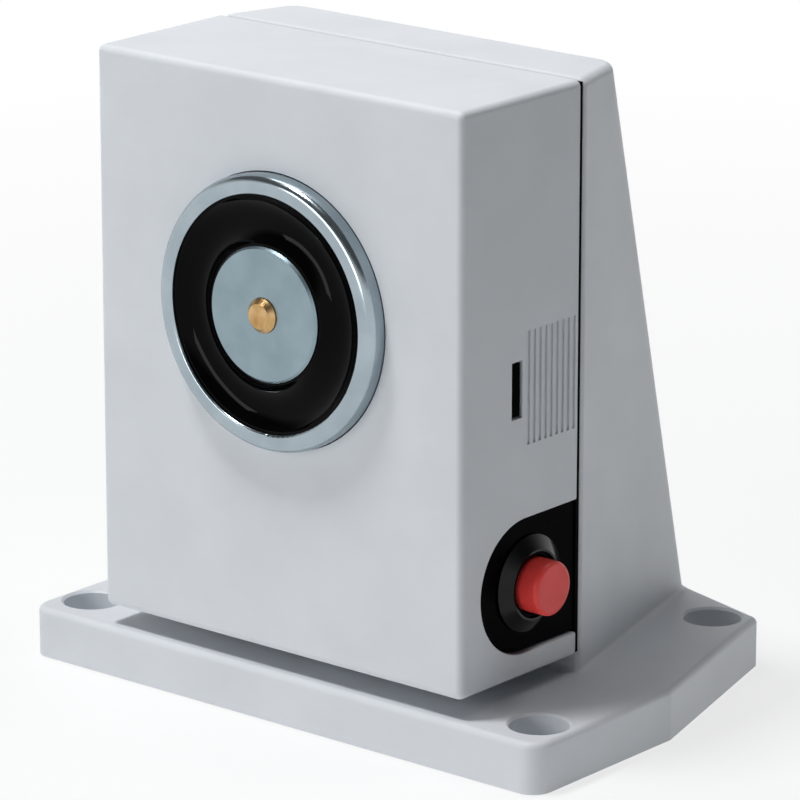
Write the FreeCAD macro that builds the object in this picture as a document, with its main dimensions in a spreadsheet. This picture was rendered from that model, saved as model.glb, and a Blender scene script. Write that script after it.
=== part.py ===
import FreeCAD, Part
import math
import os

import Sketcher

# Floor-standing electromagnetic door holder, in millimetres.
# The origin is on the floor, in the middle, at the front face of the bracket's column.
# +X is to the right seen from the door, +Y points back, away from the door, and +Z is up.

SIZES = {
    # moulded cover of the holding unit
    "cover_width": 85.0,
    "cover_height": 106.1,
    "cover_depth": 32.9,
    "cover_wall": 2.6,
    "cover_edge_radius": 1.3,
    "cover_rear_radius": 0.5,
    "cover_gap": 3.7,
    "seam_gap": 1.0,
    # latch slot and finger grip on the cover's sides
    "slot_from_front": 13.9,
    "slot_width": 3.0,
    "slot_height": 10.5,
    "slot_floor_height": 61.5,
    "grip_from_front": 18.3,
    "grip_pitch": 1.6,
    "grip_count": 9,
    "grip_groove_width": 0.8,
    "grip_groove_depth": 0.4,
    "grip_floor_height": 56.2,
    "grip_height": 20.8,
    # cut-out in the right side for the release button
    "button_window_radius": 12.5,
    "button_window_from_front": 18.2,
    "button_window_edge": 0.35,
    "button_from_front": 19.8,
    "button_height": 30.2,
    # cast floor bracket
    "base_width": 121.2,
    "base_thickness": 9.5,
    "base_front": 35.1,
    "base_kink": 3.5,
    "base_ear": 46.6,
    "base_back": 52.8,
    "base_corner_radius": 4.0,
    "base_ear_radius": 1.5,
    "base_edge_radius": 1.2,
    "base_rim": 4.0,
    "base_skin": 3.5,
    "base_rib": 6.0,
    "taper_angle": 16.0,
    "column_top_depth": 15.1,
    "column_wall": 3.5,
    "column_edge_radius": 5.0,
    "column_top_radius": 1.6,
    "column_front_radius": 0.9,
    "column_foot_radius": 1.0,
    "floor_hole_diameter": 6.0,
    "floor_counterbore": 10.8,
    "floor_counterbore_depth": 6.7,
    "floor_counterbore_edge": 0.45,
    "floor_boss_wall": 2.4,
    "front_hole_from_side": 7.0,
    "front_hole_from_front": 9.5,
    "rear_hole_from_side": 8.09,
    "rear_hole_from_ear": 5.4,
    # carrier moulding behind the cover
    "carrier_thickness": 3.0,
    "carrier_clearance": 0.4,
    "seam_inset": 0.5,
    "seam_clearance": 0.1,
    "pad_height": 3.0,
    "pad_diameter": 44.0,
    "latch_thickness": 1.9,
    "latch_clearance": 0.6,
    "latch_nose": 2.3,
    "latch_hook": 2.9,
    "latch_play": 0.4,
    "wing_inset": 0.8,
    "wing_thickness": 4.4,
    "wing_clearance": 0.4,
    "screw_from_side": 9.5,
    "screw_low_height": 22.4,
    "screw_high_height": 111.6,
    "screw_diameter": 4.0,
    "screw_head_diameter": 7.6,
    "screw_head_height": 2.4,
    "screw_clearance": 0.3,
    "thread_clearance": 0.1,
    "screw_boss_diameter": 9.0,
    "screw_boss_length": 6.0,
    "screw_drive_width": 1.0,
    "screw_drive_depth": 1.2,
    # pot magnet
    "magnet_height": 76.9,
    "pot_diameter": 50.5,
    "pot_wall": 3.5,
    "pot_floor": 5.0,
    "pot_proud": 3.5,
    "pot_lip_radius": 1.8,
    "pot_inner_lip_radius": 0.5,
    "pot_clearance": 0.15,
    "core_diameter": 24.8,
    "core_edge": 0.4,
    "spigot_diameter": 14.0,
    "seat_clearance": 0.05,
    "bobbin_depth": 4.5,
    "bobbin_wall": 1.2,
    "bobbin_flange": 1.4,
    "bobbin_clearance": 0.25,
    "winding_height": 6.8,
    "potting_depth": 0.7,
    "potting_dish": 2.0,
    "magnet_screw_circle": 34.0,
    "magnet_screw_count": 3,
    "lead_hole_diameter": 6.0,
    # spring-loaded ejector pin in the core
    "pin_diameter": 6.4,
    "pin_proud": 1.2,
    "pin_chamfer": 0.9,
    "pin_flange_diameter": 8.4,
    "pin_flange": 1.5,
    "pin_tail_diameter": 3.2,
    "pin_tail": 4.0,
    "running_clearance": 0.06,
    "free_clearance": 0.3,
    "core_shoulder": 8.0,
    "pin_chamber_diameter": 9.4,
    "pin_spring_length": 10.0,
    "pin_spring_turns": 4,
    "pin_plug_length": 4.0,
    "spring_wire": 0.6,
    # release button and its switch
    "cap_diameter": 10.0,
    "cap_proud": 5.9,
    "cap_length": 8.4,
    "cap_edge_radius": 0.8,
    "button_travel": 2.2,
    "bush_diameter": 12.0,
    "bush_wall": 0.6,
    "bush_proud": 1.5,
    "collar_diameter": 17.8,
    "collar_height": 2.0,
    "collar_lip": 0.4,
    "collar_face_diameter": 13.0,
    "switch_side": 14.0,
    "switch_length": 14.0,
    "cap_well_depth": 9.0,
    "plunger_diameter": 4.0,
    "plunger_socket": 4.0,
    "plunger_guide": 4.5,
    "button_spring_turns": 4,
    "tag_spacing": 6.0,
    "tag_width": 4.8,
    "tag_thickness": 0.8,
    "tag_length": 6.0,
    # terminal block, cable entry and leads
    "terminal_pitch": 8.0,
    "terminal_count": 3,
    "terminal_x": 20.0,
    "terminal_floor_height": 31.4,
    "terminal_height": 13.6,
    "terminal_depth": 12.0,
    "terminal_margin": 1.5,
    "terminal_screw_diameter": 3.8,
    "terminal_screw_height": 2.0,
    "terminal_shank_diameter": 2.4,
    "terminal_well_depth": 7.0,
    "wire_hole_diameter": 3.0,
    "clamp_width": 4.8,
    "clamp_length": 7.0,
    "clamp_height": 4.6,
    "cable_x": 14.0,
    "cable_height": 24.0,
    "cable_window_diameter": 13.0,
    "grommet_sleeve_diameter": 10.4,
    "grommet_flange_diameter": 12.4,
    "grommet_flange": 1.8,
    "grommet_bore": 6.4,
    "lead_diameter": 1.3,
    "lead_bend": 2.0,
    "lead_step": 3.0,
}

doc = FreeCAD.newDocument("door_holder")
sheet = doc.addObject("Spreadsheet::Sheet", "Sizes")
for row, (alias, number) in enumerate(SIZES.items(), 1):
    sheet.set(f"A{row}", alias)
    sheet.set(f"B{row}", str(number))
    sheet.setAlias(f"B{row}", alias)
doc.recompute()

# heights and depths that several pieces share, as expressions of the sheet
COVER_FLOOR = "(Sizes.base_thickness + Sizes.cover_gap)"
TOP = f"({COVER_FLOOR} + Sizes.cover_height)"
COVER_FRONT = "(-Sizes.seam_gap - Sizes.cover_depth)"
POLE_FACE = f"({COVER_FRONT} - Sizes.pot_proud)"
SIDE = "(Sizes.cover_width / 2)"
WING_FACE = f"({SIDE} - Sizes.wing_inset)"
BUTTON_Y = f"({COVER_FRONT} + Sizes.button_from_front)"
WINDOW_Y = f"({COVER_FRONT} + Sizes.button_window_from_front)"
POT_LENGTH = f"(-{POLE_FACE} - Sizes.carrier_thickness - Sizes.pad_height)"
POT_DEPTH = f"({POT_LENGTH} - Sizes.pot_floor)"
TAN = "tan(Sizes.taper_angle)"
FRONT_HOLE_Y = "(Sizes.front_hole_from_front - Sizes.base_front)"
REAR_HOLE_Y = "(Sizes.base_ear - Sizes.rear_hole_from_ear)"
FRONT_HOLE_X = "(Sizes.base_width / 2 - Sizes.front_hole_from_side)"
REAR_HOLE_X = (f"(Sizes.base_width / 2 - ({REAR_HOLE_Y} - Sizes.base_kink) * {TAN}"
               " - Sizes.rear_hole_from_side)")

# an edge lies at a place when it is closer than this
CLOSE = 0.01

pieces = []


def size(name):
    return float(sheet.get(name))


def node(piece, label):
    piece.Label = label
    pieces.append(piece)
    return piece


def place(thing, x="0", y="0", z="0"):
    for axis, where in zip("xyz", (x, y, z)):
        thing.setExpression(f"Placement.Base.{axis}", where)
    return thing


def new_body(label, x="0", y="0", z="0"):
    body = doc.addObject("PartDesign::Body", label)
    return place(node(body, label), x, y, z)


def new_sketch(body, plane, offset="0"):
    sketch = body.newObject("Sketcher::SketchObject", "outline")
    support = next(f for f in body.Origin.OriginFeatures if f.Role == plane)
    sketch.AttachmentSupport = [(support, "")]
    sketch.MapMode = "FlatFace"
    sketch.setExpression("AttachmentOffset.Base.z", offset)
    return sketch


def pin_point(sketch, geometry, point, x, y):
    for kind, where in (("DistanceX", x), ("DistanceY", y)):
        rule = sketch.addConstraint(Sketcher.Constraint(kind, -1, 1, geometry, point, 1.0))
        sketch.setExpression(f"Constraints[{rule}]", where)


def polygon(sketch, corners):
    first = sketch.GeometryCount
    count = len(corners)
    ring = [FreeCAD.Vector(math.cos(2 * math.pi * i / count), math.sin(2 * math.pi * i / count), 0)
            for i in range(count)]
    for i in range(count):
        sketch.addGeometry(Part.LineSegment(ring[i], ring[(i + 1) % count]))
    for i in range(count):
        follower = first + (i + 1) % count
        sketch.addConstraint(Sketcher.Constraint("Coincident", first + i, 2, follower, 1))
    for i, (x, y) in enumerate(corners):
        pin_point(sketch, first + i, 1, x, y)
    return sketch


def rectangle(sketch, left, low, right, high):
    return polygon(sketch, [(left, low), (right, low), (right, high), (left, high)])


def circle(sketch, x, y, diameter):
    ring = sketch.addGeometry(Part.Circle(FreeCAD.Vector(0, 0, 0), FreeCAD.Vector(0, 0, 1), 1.0))
    rule = sketch.addConstraint(Sketcher.Constraint("Diameter", ring, 2.0))
    sketch.setExpression(f"Constraints[{rule}]", diameter)
    pin_point(sketch, ring, 3, x, y)
    return sketch


def extrude(body, kind, sketch, length, reverse=False, both=False):
    feature = body.newObject(f"PartDesign::{kind}", kind.lower())
    feature.Profile = sketch
    feature.setExpression("Length", length)
    feature.Reversed = reverse
    feature.Midplane = both
    doc.recompute()
    return feature


def pad(body, sketch, length, reverse=False, both=False):
    return extrude(body, "Pad", sketch, length, reverse, both)


def pocket(body, sketch, length, reverse=False, both=False):
    return extrude(body, "Pocket", sketch, length, reverse, both)


def turn(body, kind, sketch, axis):
    feature = body.newObject(f"PartDesign::{kind}", kind.lower())
    feature.Profile = sketch
    feature.ReferenceAxis = (sketch, [axis])
    feature.Angle = 360.0
    doc.recompute()
    return feature


def turned(label, corners, axis, x="0", y="0", z="0"):
    body = new_body(label, x, y, z)
    turn(body, "Revolution", polygon(new_sketch(body, "XY_Plane"), corners), axis)
    return body


def soften(body, kind, amount, chosen):
    base = body.Tip
    names = [f"Edge{i}" for i, edge in enumerate(base.Shape.Edges, 1) if chosen(edge)]
    feature = body.newObject(f"PartDesign::{kind}", kind.lower())
    feature.Base = (base, names)
    feature.setExpression("Radius" if kind == "Fillet" else "Size", amount)
    doc.recompute()
    return feature


def mirror(body, feature):
    copy = body.newObject("PartDesign::Mirrored", "mirrored")
    copy.Originals = [feature]
    copy.MirrorPlane = (next(f for f in body.Origin.OriginFeatures if f.Role == "YZ_Plane"), [""])
    body.Tip = copy
    doc.recompute()
    return copy


def span(edge, axis):
    box = edge.BoundBox
    return getattr(box, f"{axis}Min"), getattr(box, f"{axis}Max")


def lies_at(edge, axis, where):
    return all(abs(end - where) < CLOSE for end in span(edge, axis))


def reaches(edge, axis, where):
    return abs(span(edge, axis)[1] - where) < CLOSE


def centre_of(edge):
    return edge.CenterOfMass


def front_hole_places():
    return [(f"{side}{FRONT_HOLE_X}", FRONT_HOLE_Y) for side in ("", "-")]


def rear_hole_places():
    return [(f"{side}{REAR_HOLE_X}", REAR_HOLE_Y) for side in ("", "-")]


def carrier_screw_places():
    heights = ("Sizes.screw_low_height", "Sizes.screw_high_height")
    return [(f"{side}({SIDE} - Sizes.screw_from_side)", height) for side in ("", "-") for height in heights]


def magnet_screw_places():
    places = []
    for i in range(int(size("magnet_screw_count"))):
        angle = f"(90 + {i} * 360 / Sizes.magnet_screw_count)"
        places.append((f"Sizes.magnet_screw_circle / 2 * cos({angle})",
                       f"Sizes.magnet_height + Sizes.magnet_screw_circle / 2 * sin({angle})"))
    return places


def terminal_places():
    middle = (int(size("terminal_count")) - 1) / 2
    return [f"(-Sizes.terminal_x + {i - middle} * Sizes.terminal_pitch)"
            for i in range(int(size("terminal_count")))]


# Cast bracket: base flange with ears, and a hollow column with a sloping back

def half_width(depth, inset="0"):
    return f"({SIDE} - ({depth}) * {TAN} - ({inset}) / cos(Sizes.taper_angle))"


def column_outline(body, height, front, back, inset="0"):
    corners = [(f"-{half_width(front, inset)}", front), (half_width(front, inset), front),
               (half_width(back, inset), back), (f"-{half_width(back, inset)}", back)]
    return polygon(new_sketch(body, "XY_Plane", height), corners)


def loft(body, kind, low, high):
    feature = body.newObject(f"PartDesign::{kind}", kind.lower())
    feature.Profile = low
    feature.Sections = [high]
    feature.Ruled = True
    doc.recompute()
    return feature


def make_floor_bracket():
    body = new_body("floor_bracket")
    slope = f"((Sizes.base_back - Sizes.column_top_depth) / ({TOP} - Sizes.base_thickness))"
    floor_depth = f"(Sizes.base_back + {slope} * Sizes.base_thickness)"
    half_base = "Sizes.base_width / 2"
    ear_x = f"({half_base} - (Sizes.base_ear - Sizes.base_kink) * {TAN})"

    blank = new_sketch(body, "XY_Plane")
    rectangle(blank, "-Sizes.base_width", "-2 * Sizes.base_front",
              "Sizes.base_width", "2 * Sizes.base_back")
    pad(body, blank, "Sizes.base_thickness")

    # hollow underside beside the column, with bosses round the front fixing holes
    boss = "(Sizes.floor_counterbore + 2 * Sizes.floor_boss_wall)"
    inner_front = "(-Sizes.base_front + Sizes.base_rim)"
    inner_side = f"({half_base} - Sizes.base_rim)"
    inner_back = f"({REAR_HOLE_Y} - {boss} / 2)"
    under = polygon(new_sketch(body, "XY_Plane"),
                    [("Sizes.base_rib / 2", inner_front), (inner_side, inner_front),
                     (inner_side, "Sizes.base_kink"),
                     (f"{inner_side} - ({inner_back} - Sizes.base_kink) * {TAN}", inner_back),
                     (half_width(inner_back), inner_back), (SIDE, "0"), ("Sizes.base_rib / 2", "0")])
    mirror(body, pocket(body, under, "Sizes.base_thickness - Sizes.base_skin", reverse=True))
    bosses = new_sketch(body, "XY_Plane")
    for x, y in front_hole_places():
        circle(bosses, x, y, boss)
    pad(body, bosses, "Sizes.base_thickness - Sizes.base_skin")

    # column on the blank
    loft(body, "AdditiveLoft", column_outline(body, "0", "0", floor_depth),
         column_outline(body, TOP, "0", "Sizes.column_top_depth"))
    floor = size("base_thickness")
    top = floor + size("cover_gap") + size("cover_height")
    soften(body, "Fillet", "Sizes.column_edge_radius",
           lambda e: reaches(e, "Z", top) and span(e, "Z")[0] < floor + CLOSE and span(e, "Y")[0] > CLOSE)
    soften(body, "Fillet", "Sizes.column_top_radius",
           lambda e: lies_at(e, "Z", top) and span(e, "Y")[1] > CLOSE)
    soften(body, "Fillet", "Sizes.column_front_radius",
           lambda e: lies_at(e, "Y", 0) and span(e, "Z")[1] > floor + CLOSE)
    soften(body, "Fillet", "Sizes.column_foot_radius",
           lambda e: lies_at(e, "Z", floor) and CLOSE < centre_of(e).y < 2 * size("base_back") - CLOSE
           and abs(centre_of(e).x) < size("cover_width") / 2)

    # the flange's plan is cut out of the blank
    plan = new_sketch(body, "XY_Plane")
    rectangle(plan, "-2 * Sizes.base_width", "-4 * Sizes.base_front",
              "2 * Sizes.base_width", "4 * Sizes.base_back")
    back_x = half_width("Sizes.base_back")
    polygon(plan, [(f"-{half_base}", "-Sizes.base_front"), (half_base, "-Sizes.base_front"),
                   (half_base, "Sizes.base_kink"), (ear_x, "Sizes.base_ear"), (back_x, "Sizes.base_back"),
                   (f"-{back_x}", "Sizes.base_back"), (f"-{ear_x}", "Sizes.base_ear"),
                   (f"-{half_base}", "Sizes.base_kink")])
    pocket(body, plan, TOP, reverse=True)
    front = -size("base_front")
    for radius, corner in (("Sizes.base_corner_radius", front), ("Sizes.base_ear_radius", size("base_ear"))):
        soften(body, "Fillet", radius,
               lambda e: reaches(e, "Z", floor) and span(e, "Z")[0] < CLOSE and lies_at(e, "Y", corner))
    soften(body, "Fillet", "Sizes.base_edge_radius", lambda e: lies_at(e, "Z", floor) and is_outer_edge(e))

    # hollow of the column, open to the floor
    loft(body, "SubtractiveLoft",
         column_outline(body, "0", "Sizes.column_wall", "(Sizes.base_back - Sizes.column_wall)",
                        "Sizes.column_wall"),
         column_outline(body, f"({TOP} - Sizes.column_wall)", "Sizes.column_wall",
                        "(Sizes.column_top_depth - Sizes.column_wall / 2)", "Sizes.column_wall"))

    # fixing holes with counterbores
    for diameter, start, length, upward in (
            ("Sizes.floor_hole_diameter", "0", "Sizes.base_thickness", True),
            ("Sizes.floor_counterbore", "Sizes.base_thickness", "Sizes.floor_counterbore_depth", False)):
        holes = new_sketch(body, "XY_Plane", start)
        for x, y in front_hole_places() + rear_hole_places():
            circle(holes, x, y, diameter)
        pocket(body, holes, length, reverse=upward)
    for x, y in front_hole_places() + rear_hole_places():
        bevel = body.newObject("PartDesign::SubtractiveCone", "bevel")
        bevel.setExpression("Radius1", "Sizes.floor_counterbore / 2")
        bevel.setExpression("Radius2", "Sizes.floor_counterbore / 2 + Sizes.floor_counterbore_edge")
        bevel.setExpression("Height", "Sizes.floor_counterbore_edge")
        place(bevel, x, y, "Sizes.base_thickness - Sizes.floor_counterbore_edge")
        doc.recompute()

    # tapped bosses for the carrier, and the cable's way through the front wall
    posts = new_sketch(body, "XZ_Plane", "-Sizes.column_wall")
    taps = new_sketch(body, "XZ_Plane")
    for x, z in carrier_screw_places():
        circle(posts, x, z, "Sizes.screw_boss_diameter")
        circle(taps, x, z, "Sizes.screw_diameter + 2 * Sizes.thread_clearance")
    pad(body, posts, "Sizes.screw_boss_length", reverse=True)
    pocket(body, taps, "Sizes.column_wall + Sizes.screw_boss_length")
    window = circle(new_sketch(body, "XZ_Plane"), "-Sizes.cable_x", "Sizes.cable_height",
                    "Sizes.grommet_sleeve_diameter + 2 * Sizes.thread_clearance")
    pocket(body, window, "Sizes.column_wall")


def is_outer_edge(edge):
    # on the flange's front, side or rear edge, clear of the blend at the column's foot
    middle = centre_of(edge)
    if middle.y < -size("base_front") + size("base_corner_radius"):
        return True
    taper = math.tan(math.radians(size("taper_angle")))
    beside = abs(middle.x) + max(middle.y, 0) * taper - size("cover_width") / 2
    return beside > 2 * size("column_foot_radius") and edge.Length > size("base_edge_radius")


# Moulded cover: a box open at the back

def make_front_cover():
    body = new_body("front_cover")
    outer = new_sketch(body, "XZ_Plane", "Sizes.seam_gap")
    rectangle(outer, f"-{SIDE}", COVER_FLOOR, SIDE, TOP)
    pad(body, outer, "Sizes.cover_depth")
    rear = -size("seam_gap")
    soften(body, "Fillet", "Sizes.cover_edge_radius", lambda e: not lies_at(e, "Y", rear))
    soften(body, "Fillet", "Sizes.cover_rear_radius", lambda e: lies_at(e, "Y", rear))
    inner = new_sketch(body, "XZ_Plane", "Sizes.seam_gap")
    rectangle(inner, f"-{SIDE} + Sizes.cover_wall", f"{COVER_FLOOR} + Sizes.cover_wall",
              f"{SIDE} - Sizes.cover_wall", f"{TOP} - Sizes.cover_wall")
    pocket(body, inner, "Sizes.cover_depth - Sizes.cover_wall", reverse=True)

    opening = new_sketch(body, "XZ_Plane", f"-{COVER_FRONT}")
    circle(opening, "0", "Sizes.magnet_height", "Sizes.pot_diameter + 2 * Sizes.pot_clearance")
    pocket(body, opening, "Sizes.cover_wall")

    # latch slots through both side walls
    slot = new_sketch(body, "YZ_Plane")
    rectangle(slot, f"{COVER_FRONT} + Sizes.slot_from_front", "Sizes.slot_floor_height",
              f"{COVER_FRONT} + Sizes.slot_from_front + Sizes.slot_width",
              "Sizes.slot_floor_height + Sizes.slot_height")
    pocket(body, slot, "Sizes.cover_width", both=True)

    # window for the release button, open at the seam so that the cover slides on
    window = new_sketch(body, "YZ_Plane")
    circle(window, WINDOW_Y, "Sizes.button_height", "2 * Sizes.button_window_radius")
    pocket(body, window, SIDE, reverse=True)
    way_in = new_sketch(body, "YZ_Plane")
    rectangle(way_in, WINDOW_Y, "Sizes.button_height - Sizes.button_window_radius",
              "0", "Sizes.button_height + Sizes.button_window_radius")
    pocket(body, way_in, SIDE, reverse=True)
    side = size("cover_width") / 2
    reach = size("button_window_radius") + CLOSE
    soften(body, "Fillet", "Sizes.button_window_edge",
           lambda e: lies_at(e, "X", side) and abs(centre_of(e).z - size("button_height")) < reach)

    # finger grip: upright grooves on both sides
    for outward, inward in ((SIDE, False), (f"-{SIDE}", True)):
        groove = new_sketch(body, "YZ_Plane", outward)
        start = f"({COVER_FRONT} + Sizes.grip_from_front)"
        rectangle(groove, start, "Sizes.grip_floor_height", f"{start} + Sizes.grip_groove_width",
                  "Sizes.grip_floor_height + Sizes.grip_height")
        cut = pocket(body, groove, "Sizes.grip_groove_depth", reverse=inward)
        row_of_grooves = body.newObject("PartDesign::LinearPattern", "grip")
        row_of_grooves.Originals = [cut]
        row_of_grooves.Direction = (groove, ["H_Axis"])
        row_of_grooves.Occurrences = int(size("grip_count"))
        row_of_grooves.setExpression("Length", "Sizes.grip_pitch * (Sizes.grip_count - 1)")
        body.Tip = row_of_grooves
        doc.recompute()


# Carrier moulding: plate, magnet pad, latch arms and the button's side wing

def make_carrier():
    body = new_body("carrier")
    edge = "(Sizes.cover_wall + Sizes.carrier_clearance)"
    plate = new_sketch(body, "XZ_Plane")
    rectangle(plate, f"-{SIDE} + {edge}", f"{COVER_FLOOR} + {edge}", f"{SIDE} - {edge}", f"{TOP} - {edge}")
    pad(body, plate, "Sizes.carrier_thickness")
    # a thin flange fills the seam between cover and column
    flange = new_sketch(body, "XZ_Plane")
    rectangle(flange, f"-{SIDE} + Sizes.seam_inset", f"{COVER_FLOOR} + Sizes.seam_inset",
              f"{SIDE} - Sizes.seam_inset", f"{TOP} - Sizes.seam_inset")
    pad(body, flange, "Sizes.seam_gap - Sizes.seam_clearance")
    seat = circle(new_sketch(body, "XZ_Plane"), "0", "Sizes.magnet_height", "Sizes.pad_diameter")
    pad(body, seat, "Sizes.carrier_thickness + Sizes.pad_height")

    arm_outside = f"({SIDE} - Sizes.cover_wall - Sizes.latch_clearance)"
    arm_low = "(Sizes.slot_floor_height + Sizes.latch_play)"
    arm_height = "(Sizes.slot_height - 2 * Sizes.latch_play)"
    slot_back = f"({COVER_FRONT} + Sizes.slot_from_front + Sizes.slot_width - Sizes.latch_play)"
    slot_front = f"({COVER_FRONT} + Sizes.slot_from_front + Sizes.latch_play)"
    arm_inside = f"{arm_outside} - Sizes.latch_thickness"
    arm = polygon(new_sketch(body, "XY_Plane", arm_low),
                  [(arm_inside, "0"), (arm_inside, slot_front),
                   (f"{arm_outside} + Sizes.latch_nose", slot_front),
                   (f"{arm_outside} + Sizes.latch_hook", slot_back), (arm_outside, slot_back),
                   (arm_outside, "0")])
    mirror(body, pad(body, arm, arm_height))

    wing_radius = "(Sizes.button_window_radius - Sizes.wing_clearance)"
    wing_inside = f"({WING_FACE} - Sizes.wing_thickness)"
    wing_root = rectangle(new_sketch(body, "YZ_Plane", wing_inside), WINDOW_Y,
                          f"Sizes.button_height - {wing_radius}", "0", f"Sizes.button_height + {wing_radius}")
    pad(body, wing_root, "Sizes.wing_thickness")
    wing_end = circle(new_sketch(body, "YZ_Plane", wing_inside), WINDOW_Y, "Sizes.button_height",
                      f"2 * {wing_radius}")
    pad(body, wing_end, "Sizes.wing_thickness")
    bush = circle(new_sketch(body, "YZ_Plane", WING_FACE), BUTTON_Y, "Sizes.button_height",
                  "Sizes.bush_diameter + 2 * Sizes.thread_clearance")
    pocket(body, bush, "Sizes.wing_thickness")

    # a groove in the pad takes the coil's leads down from the pot
    groove = new_sketch(body, "XZ_Plane", "Sizes.carrier_thickness")
    rectangle(groove, "-Sizes.lead_hole_diameter / 2",
              "Sizes.magnet_height - Sizes.pad_diameter",
              "Sizes.lead_hole_diameter / 2",
              "Sizes.magnet_height - Sizes.magnet_screw_circle / 2 + Sizes.lead_hole_diameter / 2")
    pocket(body, groove, "Sizes.pad_height", reverse=True)

    bores = new_sketch(body, "XZ_Plane")
    recesses = new_sketch(body, "XZ_Plane")
    for x, z in carrier_screw_places():
        circle(bores, x, z, "Sizes.screw_diameter + 2 * Sizes.screw_clearance")
    for x, z in magnet_screw_places():
        circle(bores, x, z, "Sizes.screw_diameter + 2 * Sizes.screw_clearance")
        circle(recesses, x, z, "Sizes.screw_head_diameter + 2 * Sizes.screw_clearance")
    circle(bores, "-Sizes.cable_x", "Sizes.cable_height", "Sizes.cable_window_diameter")
    pocket(body, bores, "Sizes.carrier_thickness + Sizes.pad_height", reverse=True)
    pocket(body, recesses, "Sizes.screw_head_height + Sizes.screw_clearance", reverse=True)


# Pot magnet, turned about the line through the middle of its face

def make_magnet():
    centre = {"y": POLE_FACE, "z": "Sizes.magnet_height"}
    outside = "Sizes.pot_diameter / 2"
    inside = f"({outside} - Sizes.pot_wall)"
    core = "Sizes.core_diameter / 2"
    spigot = "Sizes.spigot_diameter / 2"
    chamber = "Sizes.pin_chamber_diameter / 2"
    bore = "(Sizes.pin_diameter / 2 + Sizes.running_clearance)"

    pot = turned("magnet_pot",
                 [(outside, "0"), (outside, POT_LENGTH), (f"{spigot} + Sizes.seat_clearance", POT_LENGTH),
                  (f"{spigot} + Sizes.seat_clearance", POT_DEPTH), (inside, POT_DEPTH), (inside, "0")],
                 "V_Axis", **centre)
    rim = size("pot_diameter") / 2
    soften(pot, "Fillet", "Sizes.pot_lip_radius", lambda e: lies_at(e, "Y", 0) and reaches(e, "X", rim))
    soften(pot, "Fillet", "Sizes.pot_inner_lip_radius",
           lambda e: lies_at(e, "Y", 0) and reaches(e, "X", rim - size("pot_wall")))
    taps = new_sketch(pot, "XZ_Plane", f"-{POT_DEPTH}")
    for x, z in magnet_screw_places():
        circle(taps, x, f"{z} - Sizes.magnet_height", "Sizes.screw_diameter + 2 * Sizes.thread_clearance")
    circle(taps, "0", "-Sizes.magnet_screw_circle / 2", "Sizes.lead_hole_diameter")
    pocket(pot, taps, "Sizes.pot_floor")

    core_body = turned("magnet_core",
                       [(bore, "0"), (core, "0"), (core, POT_DEPTH), (spigot, POT_DEPTH),
                        (spigot, POT_LENGTH), (chamber, POT_LENGTH), (chamber, "Sizes.core_shoulder"),
                        (bore, "Sizes.core_shoulder")],
                       "V_Axis", **centre)
    soften(core_body, "Chamfer", "Sizes.core_edge",
           lambda e: lies_at(e, "Y", 0) and span(e, "X")[1] > size("pin_diameter"))

    tube = f"({core} + Sizes.seat_clearance)"
    drum = f"({tube} + Sizes.bobbin_wall)"
    flange = f"({inside} - Sizes.bobbin_clearance)"
    front = "Sizes.bobbin_depth"
    turned("coil_bobbin",
           [(tube, front), (flange, front), (flange, f"{front} + Sizes.bobbin_flange"),
            (drum, f"{front} + Sizes.bobbin_flange"), (drum, f"{POT_DEPTH} - Sizes.bobbin_flange"),
            (flange, f"{POT_DEPTH} - Sizes.bobbin_flange"), (flange, POT_DEPTH), (tube, POT_DEPTH)],
           "V_Axis", **centre)
    turned("coil_winding",
           [(f"{drum} + Sizes.seat_clearance", f"{front} + Sizes.bobbin_flange"),
            (f"{drum} + Sizes.winding_height", f"{front} + Sizes.bobbin_flange"),
            (f"{drum} + Sizes.winding_height", f"{POT_DEPTH} - Sizes.bobbin_flange"),
            (f"{drum} + Sizes.seat_clearance", f"{POT_DEPTH} - Sizes.bobbin_flange")],
           "V_Axis", **centre)

    # cast resin between core and pot, sunk in the middle
    resin_in = f"({core} + Sizes.seat_clearance)"
    resin_out = f"({inside} - Sizes.seat_clearance)"
    resin = turned("potting_ring",
                   [(resin_in, "Sizes.potting_depth"), (resin_out, "Sizes.potting_depth"),
                    (resin_out, front), (resin_in, front)], "V_Axis", **centre)
    half_gap = f"(({resin_out} - {resin_in}) / 2 - Sizes.core_edge)"
    dish_radius = f"(({half_gap} ^ 2 + Sizes.potting_dish ^ 2) / (2 * Sizes.potting_dish))"
    dish = circle(new_sketch(resin, "XY_Plane"), f"({resin_in} + {resin_out}) / 2",
                  f"Sizes.potting_depth + Sizes.potting_dish - {dish_radius}", f"2 * {dish_radius}")
    turn(resin, "Groove", dish, "V_Axis")
    make_ejector(centre, chamber)


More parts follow.
